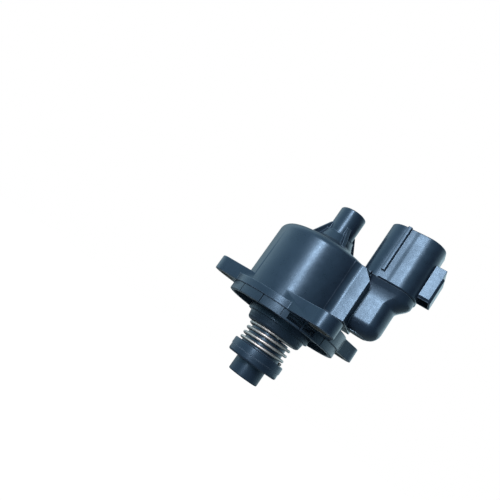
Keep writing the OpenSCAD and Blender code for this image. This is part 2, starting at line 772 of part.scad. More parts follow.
// Pintle: spring seat, banded disc and chamfered nose, pressed onto the shank
module pintle() {
  disc_r = disc_d / 2;
  low_r = disc_r - disc_step;
  color(black) difference() {
    rotate_extrude() union() {
      translate([0, -disc_top]) square([seat_d / 2, seat_h]);
      translate([0, -disc_top - disc_band_h]) square([disc_r - 0.4, disc_band_h]);
      translate([0, -disc_top - disc_band_h]) square([disc_r, disc_band_h - 0.4]);
      translate([disc_r - 0.4, -disc_top - 0.4]) circle(r = 0.4, $fn = 32);
      translate([0, -disc_bottom + 0.8]) square([low_r, disc_h - disc_band_h]);
      translate([0, -disc_bottom]) square([low_r - 0.8, disc_h]);
      translate([low_r - 0.8, -disc_bottom + 0.8]) circle(r = 0.8, $fn = 32);
      translate([0, -nose_bottom + nose_chamfer]) square([nose_d / 2, nose_h]);
      polygon([[0, -nose_bottom], [nose_d / 2 - nose_chamfer, -nose_bottom],
        [nose_d / 2, -nose_bottom + nose_chamfer], [0, -nose_bottom + nose_h]]);
    }
    translate([0, 0, -disc_bottom + 1]) linear_extrude(disc_h + seat_h) intersection() {
      circle(d = shank_d + 2 * press);
      square([shank_d + 1, flat_w + 2 * press], center = true);
    }
  }
}

// Point on the spring's centre line after a share t of its length
function coil_z(t) =
  let (lo = -disc_top + wire_d / 2 + 0.02, hi = -cup_floor_h - wire_d / 2 - 0.02,
    dead = 0.75 / spring_turns, pitch = (wire_d + 0.03) * 0.75)
  t < dead ? lo + pitch * t / dead
  : t > 1 - dead ? hi - pitch * (1 - t) / dead
  : lo + pitch + (hi - lo - 2 * pitch) * (t - dead) / (1 - 2 * dead);

// Compression spring swept as one closed tube along its helix
module spring() {
  steps = round(spring_turns * 24);
  sides = 8;
  r = (spring_d - wire_d) / 2;
  points = [for (i = [0:steps]) let (t = i / steps, a = spring_start + t * spring_turns * 360)
    for (j = [0:sides - 1]) let (b = j * 360 / sides, q = r + wire_d / 2 * cos(b))
      [q * cos(a), q * sin(a), coil_z(t) + wire_d / 2 * sin(b)]];
  walls = [for (i = [0:steps - 1]) for (j = [0:sides - 1]) let (k = (j + 1) % sides)
    for (f = [[i * sides + j, i * sides + k, (i + 1) * sides + k],
              [i * sides + j, (i + 1) * sides + k, (i + 1) * sides + j]]) f];
  first = [[for (j = [sides - 1:-1:0]) j]];
  last = [[for (j = [0:sides - 1]) steps * sides + j]];
  color(steel) polyhedron(points, concat(walls, first, last), convexity = 10);
}

housing();
front_cap();
limiter(0);  // limiter_1
limiter(1);  // limiter_2
limiter(2);  // limiter_3
color(steel) terminal(0);  // terminal_1
color(steel) terminal(1);  // terminal_2
color(steel) terminal(2);  // terminal_3
color(steel) terminal(3);  // terminal_4
color(steel) terminal(4);  // terminal_5
color(steel) terminal(5);  // terminal_6
stator_cup(0, false);  // stator_cup_1
stator_cup(0, true);  // stator_cup_2
stator_cup(1, false);  // stator_cup_3
stator_cup(1, true);  // stator_cup_4
bobbin(0);  // bobbin_front
bobbin(1);  // bobbin_rear
coil(0);  // coil_front
coil(1);  // coil_rear
bearing_outer();
bearing_balls();
rear_bush();
bearing_inner();
rotor_magnet();
rotor_sleeve();
lead_screw();
pintle();
spring();
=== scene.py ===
"""Idle air control valve: finishes, formed pieces and stage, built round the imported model."""

import json
import math

import bmesh
import bpy
from bpy.props import FloatProperty, FloatVectorProperty, PointerProperty
from mathutils import Matrix, Vector

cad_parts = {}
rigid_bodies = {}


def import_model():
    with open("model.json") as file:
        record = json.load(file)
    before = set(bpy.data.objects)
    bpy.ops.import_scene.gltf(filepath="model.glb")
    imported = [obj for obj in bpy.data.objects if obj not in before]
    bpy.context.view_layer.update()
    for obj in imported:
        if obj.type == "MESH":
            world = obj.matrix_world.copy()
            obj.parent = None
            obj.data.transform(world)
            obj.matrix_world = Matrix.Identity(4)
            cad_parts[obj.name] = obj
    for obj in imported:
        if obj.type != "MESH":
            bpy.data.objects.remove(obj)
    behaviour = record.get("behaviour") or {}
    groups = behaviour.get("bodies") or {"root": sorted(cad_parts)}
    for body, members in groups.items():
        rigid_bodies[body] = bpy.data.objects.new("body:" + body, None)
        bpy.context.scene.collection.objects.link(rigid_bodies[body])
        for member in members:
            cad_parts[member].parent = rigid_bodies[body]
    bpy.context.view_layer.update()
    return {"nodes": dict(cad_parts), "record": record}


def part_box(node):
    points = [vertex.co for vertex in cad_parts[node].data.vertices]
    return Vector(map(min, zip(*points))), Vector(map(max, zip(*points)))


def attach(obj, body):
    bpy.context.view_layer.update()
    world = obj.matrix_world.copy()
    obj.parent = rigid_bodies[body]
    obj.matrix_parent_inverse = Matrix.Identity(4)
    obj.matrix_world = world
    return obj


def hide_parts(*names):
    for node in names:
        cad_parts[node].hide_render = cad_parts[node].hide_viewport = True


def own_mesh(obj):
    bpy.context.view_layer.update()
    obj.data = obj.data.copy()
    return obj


bl_info = {
    "name": "Idle air control valve",
    "version": (1, 0, 0),
    "blender": (4, 5, 0),
    "location": "View3D > Sidebar > Valve",
    "description": "Dresses a stepper driven idle air control valve and sets its stage",
    "category": "Object",
}

for start_up_object in list(bpy.data.objects):
    bpy.data.objects.remove(start_up_object)
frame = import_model()

MM = 0.001
VALVE_BODY = "valve_body"
PINTLE_SET = "pintle_set"

# Distance in mm and direction in degrees of each screw hole from the axis
SCREW_HOLES = ((26.2, 195), (28.4, 311), (25, 32))

# Radius in mm, just inside the body's wall, on which the web's fillets end
FILLET_R = 19.76
# Depth in mm of the step down the socket's front, at the key rail
LEDGE = 0.08

# Distance under which vertices merge
MERGE = 0.001 * MM
# Angles between faces: flat below the first, sharp in shading above the second
FLAT_ANGLE = math.radians(0.4)
SHARP_DEGREES = 40
# How far a shaped copy may lie from its solid and still take its normals
NORMAL_REACH = 0.012 * MM

# Tint of the plastic's gloss, and the lighter colour painted along its edges: partly rubbing, partly
# a painted highlight
GLOSS_TINT = (0.46, 0.74, 1.0)
RUBBED_AND_HIGHLIT = (0.09, 0.125, 0.17)

# Camera: its right and up directions, and its place in mm
CAMERA_RIGHT = (0.7743, 0.2580, 0.5778)
CAMERA_UP = (-0.4758, -0.3646, 0.8004)
CAMERA_PLACE = (55.4, -176.6, -17.4)

# Main lamp: the point that it faces, its distance and its colour
LAMP_TARGET = (0.012, 0, 0.012)
LAMP_DISTANCE = 0.5
LAMP_COLOUR = (1.0, 0.9, 0.93)

SKY_COLOUR = (0.66, 0.9, 1.0)
FLOOR_COLOUR = (0.2, 0.21, 0.22)
# Light of the surroundings: azimuth in degrees round the valve, and strength
SURROUNDINGS = (
    (-180, 2.0), (-157, 1.6), (-130, 1.25), (-113, 1.6), (-77, 1.0), (-57, 0.85),
    (-37, 0.42), (-17, 0.12), (4, 0.2), (20, 1.0), (60, 1.5), (92, 1.5),
    (112, 0.9), (130, 0.5), (145, 0.8), (163, 1.7), (180, 2.0),
)

# The materials by name, filled by the finishes operator
FINISHES = {}


# Shader helpers

def start_material(name, **values):
    """A new node material whose Principled shader has these socket values."""
    material = bpy.data.materials.new(name)
    material.use_nodes = True
    shader = material.node_tree.nodes["Principled BSDF"]
    for socket, value in values.items():
        shader.inputs[socket.replace("_", " ")].default_value = value
    return material, shader


def add_node(material, kind, **settings):
    """A shader node with these properties."""
    node = material.node_tree.nodes.new("ShaderNode" + kind)
    for key, value in settings.items():
        setattr(node, key, value)
    return node


def link(material, source, target):
    """Joins an output socket to an input socket."""
    material.node_tree.links.new(source, target)


def object_coordinates(material, stretch=(1, 1, 1)):
    """Object coordinates in metres, stretched along each axis."""
    coordinates = add_node(material, "TexCoord")
    mapping = add_node(material, "Mapping")
    mapping.inputs["Scale"].default_value = stretch
    link(material, coordinates.outputs["Object"], mapping.inputs["Vector"])
    return mapping.outputs["Vector"]


def noise(material, vector, size, detail, roughness=0.5):
    """Noise whose blobs are about size metres across."""
    texture = add_node(material, "TexNoise")
    texture.inputs["Scale"].default_value = 1 / size
    texture.inputs["Detail"].default_value = detail
    texture.inputs["Roughness"].default_value = roughness
    link(material, vector, texture.inputs["Vector"])
    return texture.outputs["Fac"]


def spread(material, value, low, high, start=0.3, end=0.7):
    """Remaps a value from start..end to low..high."""
    remap = add_node(material, "MapRange")
    remap.inputs["From Min"].default_value = start
    remap.inputs["From Max"].default_value = end
    remap.inputs["To Min"].default_value = low
    remap.inputs["To Max"].default_value = high
    link(material, value, remap.inputs["Value"])
    return remap.outputs["Result"]


def blend_colours(material, factor, first, second):
    """Mixes two colours, or a colour and a socket, by a factor."""
    mix = add_node(material, "Mix", data_type="RGBA")
    link(material, factor, mix.inputs["Factor"])
    for socket, colour in ((mix.inputs[6], first), (mix.inputs[7], second)):
        if isinstance(colour, bpy.types.NodeSocket):
            link(material, colour, socket)
        else:
            socket.default_value = (*colour, 1)
    return mix.outputs[2]


def bump(material, height, strength, distance, edge_radius=0.0, under=None):
    """Relief from a height, over rounded edges or over an earlier relief."""
    relief = add_node(material, "Bump")
    relief.inputs["Strength"].default_value = strength
    relief.inputs["Distance"].default_value = distance
    link(material, height, relief.inputs["Height"])
    if under is not None:
        link(material, under, relief.inputs["Normal"])
    elif edge_radius > 0:
        rounding = add_node(material, "Bevel", samples=4)
        rounding.inputs["Radius"].default_value = edge_radius
        link(material, rounding.outputs["Normal"], relief.inputs["Normal"])
    return relief.outputs["Normal"]


def rubbed_and_highlit_edges(material, radius, patches, most):
    """A mask that is up to most on convex and concave edges, broken up by patches of noise: where
    edges are painted lighter, partly as rubbing and partly as a painted highlight.
    """
    rounding = add_node(material, "Bevel", samples=6)
    rounding.inputs["Radius"].default_value = radius
    surface = add_node(material, "NewGeometry")
    alike = add_node(material, "VectorMath", operation="DOT_PRODUCT")
    link(material, rounding.outputs["Normal"], alike.inputs[0])
    link(material, surface.outputs["Normal"], alike.inputs[1])
    edge = spread(material, alike.outputs["Value"], 0.0, 1.0, 0.995, 0.9)
    broken = add_node(material, "Math", operation="MULTIPLY")
    link(material, edge, broken.inputs[0])
    link(material, spread(material, patches, 0.35 * most, most), broken.inputs[1])
    return broken.outputs["Value"]


# Shaping helpers

def clear_selection():
    """Leaves edit mode and deselects every object."""
    if bpy.context.object and bpy.context.object.mode != "OBJECT":
        bpy.ops.object.mode_set(mode="OBJECT")
    bpy.ops.object.select_all(action="DESELECT")


def pick(piece, kind, test):
    """Selects only the faces, edges or verts of a piece in edit mode that pass a test."""
    bpy.ops.mesh.select_mode(type={"faces": "FACE", "edges": "EDGE", "verts": "VERT"}[kind])
    bpy.ops.mesh.select_all(action="DESELECT")
    mesh = bmesh.from_edit_mesh(piece.data)
    chosen = 0
    for part in getattr(mesh, kind):
        if test(part):
            part.select_set(True)
            chosen += 1
    mesh.select_flush_mode()
    bmesh.update_edit_mesh(piece.data)
    return chosen


def is_sharp(edge, least=28):
    """True for an edge between two faces that meet at more than this many degrees."""
    return len(edge.link_faces) == 2 and edge.calc_face_angle() > math.radians(least)


def copy_solid(node, name):
    """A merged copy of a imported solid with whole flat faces, ready to be shaped."""
    clear_selection()
    source = frame["nodes"][node]
    source.select_set(True)
    bpy.context.view_layer.objects.active = source
    bpy.ops.object.duplicate()
    piece = bpy.context.object
    for key in list(piece.keys()):
        del piece[key]
    piece.name = name
    bpy.ops.object.mode_set(mode="EDIT")
    bpy.ops.mesh.select_all(action="SELECT")
    bpy.ops.mesh.remove_doubles(threshold=MERGE)
    bpy.ops.mesh.dissolve_limited(angle_limit=FLAT_ANGLE)
    bpy.ops.mesh.select_all(action="DESELECT")
    return piece


def round_edges(piece, width, test, segments=2):
    """Rounds the sharp edges that pass a test, in edit mode."""
    if pick(piece, "edges", lambda edge: is_sharp(edge) and test(edge)):
        bpy.ops.mesh.bevel(
            offset_type="OFFSET", offset=width, segments=segments, profile=0.5,
            affect="EDGES", clamp_overlap=False, miter_outer="SHARP", miter_inner="SHARP",
        )


def settle_normals(piece, node=None):
    """Smooth shading that keeps flat and round faces true beside their rounded edges."""
    if piece.mode != "EDIT":
        bpy.ops.object.mode_set(mode="EDIT")
    pick(piece, "edges", lambda edge: is_sharp(edge, SHARP_DEGREES))
    bpy.ops.mesh.mark_sharp()
    bpy.ops.object.mode_set(mode="OBJECT")
    bpy.ops.mesh.customdata_custom_splitnormals_clear()
    bpy.ops.object.shade_smooth_by_angle(angle=math.radians(SHARP_DEGREES))
    weighting = piece.modifiers.new("weighted_normals", "WEIGHTED_NORMAL")
    weighting.keep_sharp = True
    bpy.ops.object.modifier_apply(modifier=weighting.name)
    if node:
        carry = piece.modifiers.new("true_normals", "DATA_TRANSFER")
        carry.object = frame["nodes"][node]
        carry.use_loop_data = True
        carry.data_types_loops = {"CUSTOM_NORMAL"}
        carry.loop_mapping = "POLYINTERP_NEAREST"
        carry.use_max_distance = True
        carry.max_distance = NORMAL_REACH
        bpy.ops.object.modifier_apply(modifier=carry.name)


def draw_line(name, points):
    """One vertex extruded from point to point, as a line is drawn by hand."""
    clear_selection()
    bpy.ops.mesh.primitive_plane_add(size=MM, location=points[0])
    piece = bpy.context.object
    piece.name = name
    bpy.ops.object.transform_apply(location=True, rotation=False, scale=False)
    bpy.ops.object.mode_set(mode="EDIT")
    bpy.ops.mesh.select_mode(type="VERT")
    bpy.ops.mesh.select_all(action="SELECT")
    bpy.ops.mesh.merge(type="CENTER")
    for start, end in zip(points, points[1:]):
        bpy.ops.mesh.extrude_region_move(
            TRANSFORM_OT_translate={"value": tuple(b - a for a, b in zip(start, end))}
        )
    bpy.ops.object.mode_set(mode="OBJECT")
    return piece


def draw_face(name, points):
    """A flat face drawn point by point, in mm, left in edit mode to be extruded."""
    piece = draw_line(name, [tuple(c * MM for c in point) for point in points])
    bpy.ops.object.mode_set(mode="EDIT")
    bpy.ops.mesh.select_all(action="SELECT")
    bpy.ops.mesh.edge_face_add()
    return piece


def make_outward():
    """Merges doubles and turns every face outwards, in edit mode."""
    bpy.ops.mesh.select_all(action="SELECT")
    bpy.ops.mesh.remove_doubles(threshold=MERGE)
    bpy.ops.mesh.normals_make_consistent(inside=False)


def rounded_outline(left, right, half, near, far, arc=8, along=1):
    """Points in mm round a box, its left corners rounded by near and its right ones by far."""
    points = []
    centres = (
        (left + near, -half + near, 180, near), (right - far, -half + far, 270, far),
        (right - far, half - far, 0, far), (left + near, half - near, 90, near),
    )
    for side, (x, y, start, corner) in enumerate(centres):
        for step in range(arc + 1):
            turn = math.radians(start + 90 * step / arc)
            points.append((x + corner * math.cos(turn), y + corner * math.sin(turn)))
        if side % 2 == 0:
            reach = right - left - near - far
            sign = 1 if side == 0 else -1
            for step in range(1, along):
                points.append((x + sign * reach * step / along, points[-1][1]))
    return points


def cut_boxes(piece, boxes, turn=0.0):
    """Takes boxes of (x, x, y, y, z, z) in mm, turned round the axis, out of a piece."""
    for low_x, high_x, low_y, high_y, low_z, high_z in boxes:
        clear_selection()
        middle = (low_x + high_x, low_y + high_y, low_z + high_z)
        bpy.ops.mesh.primitive_cube_add(size=1, location=tuple(c / 2 * MM for c in middle))
        cutter = bpy.context.object
        size = (high_x - low_x, high_y - low_y, high_z - low_z)
        bpy.ops.transform.resize(value=tuple(c * MM for c in size))
        bpy.ops.object.transform_apply(location=True, rotation=False, scale=True)
        cutter.rotation_euler.z = turn
        bpy.ops.object.transform_apply(location=False, rotation=True, scale=False)
        clear_selection()
        piece.select_set(True)
        bpy.context.view_layer.objects.active = piece
        cut = piece.modifiers.new("cut", "BOOLEAN")
        cut.operation = "DIFFERENCE"
        cut.solver = "EXACT"
        cut.object = cutter
        bpy.ops.object.modifier_apply(modifier=cut.name)
        bpy.data.objects.remove(cutter)
    bpy.ops.object.mode_set(mode="EDIT")


def turn_outline(name, outline):
    """Spins a drawn outline of (radius, height, corner size) in mm once round the axis."""
    piece = draw_line(name, [(r * MM, 0, z * MM) for r, z, _ in outline])
    bpy.ops.object.mode_set(mode="EDIT")
    for r, z, size in outline:
        if size:
            pick(piece, "verts", lambda v: (v.co - Vector((r * MM, 0, z * MM))).length < 0.01 * MM)
            bpy.ops.mesh.bevel(affect="VERTICES", offset=size * MM, segments=4, profile=0.5)
    bpy.ops.mesh.select_all(action="SELECT")
    bpy.ops.mesh.spin(steps=96, angle=2 * math.pi, center=(0, 0, 0), axis=(0, 0, 1))
    make_outward()
    return piece


def finish_piece(piece, body, slot, material, *nodes):
    """Gives a finished piece its material and its body, and hides the nodes it stands for."""
    piece.data.materials.clear()
    piece.data.materials.append(material)
    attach(piece, body)
    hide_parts(*nodes)


def in_mm(point):
    """A point's three coordinates in mm."""
    return point[0] / MM, point[1] / MM, point[2] / MM


def radius_mm(point):
    """A point's distance from the motor axis in mm."""
    return math.hypot(point[0], point[1]) / MM


# Finishes

def moulded_plastic(name, colour, roughness, grain, rubbing_and_highlight):
    """Spark-textured moulded plastic with slow sink waves, faint mottling, dust, and edges painted
    lighter as rubbing and as a painted highlight.
    """
    material, shader = start_material(name, Metallic=0.0, IOR=1.5)
    shader.inputs["Specular Tint"].default_value = (*GLOSS_TINT, 1)
    vector = object_coordinates(material)
    waves = noise(material, vector, 11 * MM, 1, 0.4)
    mottle = noise(material, vector, 3 * MM, 4, 0.6)
    speckle = noise(material, vector, grain, 2, 0.7)
    lighter = tuple(min(1.0, c * 1.3) for c in colour)
    tone = blend_colours(material, spread(material, mottle, 0.0, 1.0), colour, lighter)
    dusted = blend_colours(
        material,
        spread(material, speckle, 0.0, 0.35, 0.55, 0.8),
        tone,
        tuple(min(1.0, c * 2.2) for c in colour),
    )
    # Edges painted lighter, convex and concave alike: partly rubbing, partly a painted highlight
    # along every edge
    edge_lightened_tone = blend_colours(
        material, rubbed_and_highlit_edges(material, 0.4 * MM, mottle, rubbing_and_highlight), dusted, RUBBED_AND_HIGHLIT,
    )
    link(material, edge_lightened_tone, shader.inputs["Base Color"])
    rough = add_node(material, "Math", operation="ADD")
    link(material, spread(material, mottle, roughness - 0.03, roughness + 0.04), rough.inputs[0])
    link(material, spread(material, speckle, -0.03, 0.05), rough.inputs[1])
    link(material, rough.outputs["Value"], shader.inputs["Roughness"])
    sinks = bump(material, waves, 1.0, 0.35 * MM)
    relief = bump(material, speckle, 0.28, 0.045 * MM, under=sinks)
    link(material, relief, shader.inputs["Normal"])
    return material


def drawn_steel(name, colour, roughness, streak=(1, 1, 1), edge_radius=0.0):
    """Bare drawn or ground steel: fine streaks along the work and faint dark spots."""
    material, shader = start_material(name, Metallic=1.0)
    streaks = noise(material, object_coordinates(material, streak), 0.25 * MM, 4, 0.6)
    spots = noise(material, object_coordinates(material), 1.6 * MM, 4, 0.65)
    darker = tuple(c * 0.62 for c in colour)
    tone = blend_colours(material, spread(material, spots, 0.0, 1.0, 0.55, 0.8), colour, darker)
    link(material, tone, shader.inputs["Base Color"])
    rough = spread(material, streaks, roughness - 0.08, roughness + 0.1)
    link(material, rough, shader.inputs["Roughness"])
    link(material, bump(material, streaks, 0.2, 0.01 * MM, edge_radius), shader.inputs["Normal"])
    return material


def plated_steel(name, colour, roughness):
    """Zinc plate with the soft cloudy spangle of the bath and pressed edges."""
    material, shader = start_material(name, Metallic=1.0)
    vector = object_coordinates(material)
    cloud = noise(material, vector, 2.4 * MM, 3)
    fine = noise(material, vector, 0.18 * MM, 2)
    yellowed = (colour[0] * 1.02, colour[1] * 0.97, colour[2] * 0.84)
    tone = blend_colours(material, spread(material, cloud, 0.0, 1.0), colour, yellowed)
    link(material, tone, shader.inputs["Base Color"])
    rough = spread(material, fine, roughness - 0.06, roughness + 0.08)
    link(material, rough, shader.inputs["Roughness"])
    link(material, bump(material, fine, 0.25, 0.02 * MM, 0.12 * MM), shader.inputs["Normal"])
    return material


def natural_nylon(name, colour, roughness):
    """Unpigmented nylon: waxy, a little translucent, with weld-line mottling."""
    material, shader = start_material(name, Metallic=0.0, Subsurface_Weight=0.15)
    shader.inputs["Subsurface Scale"].default_value = 0.6 * MM
    vector = object_coordinates(material)
    mottle = noise(material, vector, 3 * MM, 3)
    deeper = (colour[0] * 0.94, colour[1] * 0.9, colour[2] * 0.8)
    tone = blend_colours(material, spread(material, mottle, 0.0, 1.0), colour, deeper)
    link(material, tone, shader.inputs["Base Color"])
    rough = spread(material, mottle, roughness - 0.05, roughness + 0.05)
    link(material, rough, shader.inputs["Roughness"])
    link(material, bump(material, mottle, 0.1, 0.05 * MM, 0.15 * MM), shader.inputs["Normal"])
    return material


def wound_copper(name, colour, pitch):
    """Enamelled wire laid turn beside turn along the bobbin, darkened in the grooves between turns as
    painted shade.
    """
    material, shader = start_material(name, Metallic=1.0, Coat_Weight=0.6, Coat_Roughness=0.15)
    vector = object_coordinates(material)
    turns = add_node(material, "TexWave", wave_type="BANDS", bands_direction="Z", wave_profile="SIN")
    turns.inputs["Scale"].default_value = 1 / (20 * pitch) * 2 * math.pi
    turns.inputs["Distortion"].default_value = 0.35
    link(material, vector, turns.inputs["Vector"])
    # Painted shade: the wire's colour darkens in the grooves between turns, where the bump is lowest
    darker = tuple(c * 0.45 for c in colour)
    tone = blend_colours(material, turns.outputs["Fac"], darker, colour)
    link(material, tone, shader.inputs["Base Color"])
    shader.inputs["Roughness"].default_value = 0.28
    link(material, bump(material, turns.outputs["Fac"], 0.8, 0.06 * MM), shader.inputs["Normal"])
    return material


def sintered_bronze(name, colour):
    """Porous oil-filled bronze: tight pores painted dark as painted shade in their pits, in a brown
    gold ground.
    """
    material, shader = start_material(name, Metallic=1.0)
    vector = object_coordinates(material)
    pores = add_node(material, "TexVoronoi", feature="F1")
    pores.inputs["Scale"].default_value = 1 / (0.22 * MM)
    link(material, vector, pores.inputs["Vector"])
    open_pore = spread(material, pores.outputs["Distance"], 1.0, 0.0, 0.05, 0.35)
    # Painted shade: the colour darkens towards each pore's centre, where the bump sinks
    tone = blend_colours(material, open_pore, colour, tuple(c * 0.35 for c in colour))
    link(material, tone, shader.inputs["Base Color"])
    link(material, spread(material, open_pore, 0.38, 0.6, 0, 1), shader.inputs["Roughness"])
    relief = bump(material, pores.outputs["Distance"], 0.3, 0.03 * MM, 0.1 * MM)
    link(material, relief, shader.inputs["Normal"])
    return material


def ground_ferrite(name, colour):
    """Dark ceramic magnet ground round, with fine rings and small chips of lighter grain."""
    material, shader = start_material(name, Metallic=0.35)
    rings = noise(material, object_coordinates(material, (0.08, 0.08, 1)), 0.16 * MM, 3)
    grain = noise(material, object_coordinates(material), 0.12 * MM, 2)
    lighter = tuple(min(1.0, c * 1.7) for c in colour)
    tone = blend_colours(material, spread(material, grain, 0.0, 1.0, 0.55, 0.75), colour, lighter)
    link(material, tone, shader.inputs["Base Color"])
    link(material, spread(material, rings, 0.42, 0.6), shader.inputs["Roughness"])
    link(material, bump(material, rings, 0.3, 0.02 * MM, 0.15 * MM), shader.inputs["Normal"])
    return material


def make_finishes(finish):
    """One material for each slot of the record."""
    return {
        "body_plastic": moulded_plastic(
            "body_plastic", finish.plastic, finish.plastic_roughness, finish.grain, 1.0
        ),
        "cap_plastic": moulded_plastic(
            "cap_plastic", finish.cap_plastic, finish.plastic_roughness + 0.04, finish.grain, 0.15
        ),
        # Zinc plate set much darker than bare zinc: painted shade for the sleeves in the ears' shadow
        "plated_steel": plated_steel("plated_steel", (0.17, 0.165, 0.16), 0.45),
        "terminal_metal": drawn_steel(
            "terminal_metal", (0.78, 0.76, 0.72), 0.28, (1, 1, 0.1), 0.08 * MM
        ),
        "bobbin_plastic": natural_nylon("bobbin_plastic", (0.84, 0.81, 0.72), 0.42),
        "copper_wire": wound_copper("copper_wire", (0.78, 0.36, 0.2), 0.16 * MM),
        "bright_steel": drawn_steel("bright_steel", finish.steel, 0.24, (1, 1, 0.25)),
        "spring_wire": drawn_steel("spring_wire", finish.wire, 0.5),
        "bronze": sintered_bronze("bronze", (0.62, 0.47, 0.27)),
        "ferrite": ground_ferrite("ferrite", (0.1, 0.1, 0.105)),
    }


# Settings

class FinishSettings(bpy.types.PropertyGroup):
    """Colours and surface of the valve's materials"""

    plastic: FloatVectorProperty(
        name="Body plastic", description="Colour of the moulded body", subtype="COLOR",
        default=(0.006, 0.011, 0.02), min=0, max=1,
    )
    cap_plastic: FloatVectorProperty(
        name="Cap plastic", description="Colour of the front cap", subtype="COLOR",
        default=(0.007, 0.012, 0.02), min=0, max=1,
    )
    plastic_roughness: FloatProperty(
        name="Plastic roughness", description="Dullness of the mouldings",
        default=0.3, min=0.05, max=1,
    )
    grain: FloatProperty(
        name="Grain", description="Size of the mould's spark texture", unit="LENGTH",
        default=0.3 * MM,
    )
    edge: FloatProperty(
        name="Edge radius", description="Rounding of the mouldings' edges", unit="LENGTH",
        default=0.28 * MM,
    )
    steel: FloatVectorProperty(
        name="Bright steel", description="Colour of the screw and its shank", subtype="COLOR",
        default=(0.74, 0.73, 0.71), min=0, max=1,
    )
    wire: FloatVectorProperty(
        name="Spring wire", description="Colour of the spring", subtype="COLOR",
        default=(0.46, 0.45, 0.43), min=0, max=1,
    )


class StageSettings(bpy.types.PropertyGroup):
    """Floor and main lamp"""

    floor_z: FloatProperty(
        name="Floor", description="Height of the floor", unit="LENGTH", default=-0.12,
    )
    key_power: FloatProperty(
        name="Key lamp", description="Power of the main lamp", unit="POWER", default=2.8,
    )
    key_width: FloatProperty(
        name="Key width", description="Width of the main lamp", unit="LENGTH", default=0.076,
    )
    key_height: FloatProperty(
        name="Key height", description="Height of the main lamp", unit="LENGTH", default=0.24,
    )
    key_azimuth: FloatProperty(
        name="Key azimuth", description="Direction of the main lamp", subtype="ANGLE",
        default=math.radians(-95),
    )
    key_elevation: FloatProperty(
        name="Key elevation", description="Height of the main lamp", subtype="ANGLE",
        default=math.radians(16),
    )


# Stage

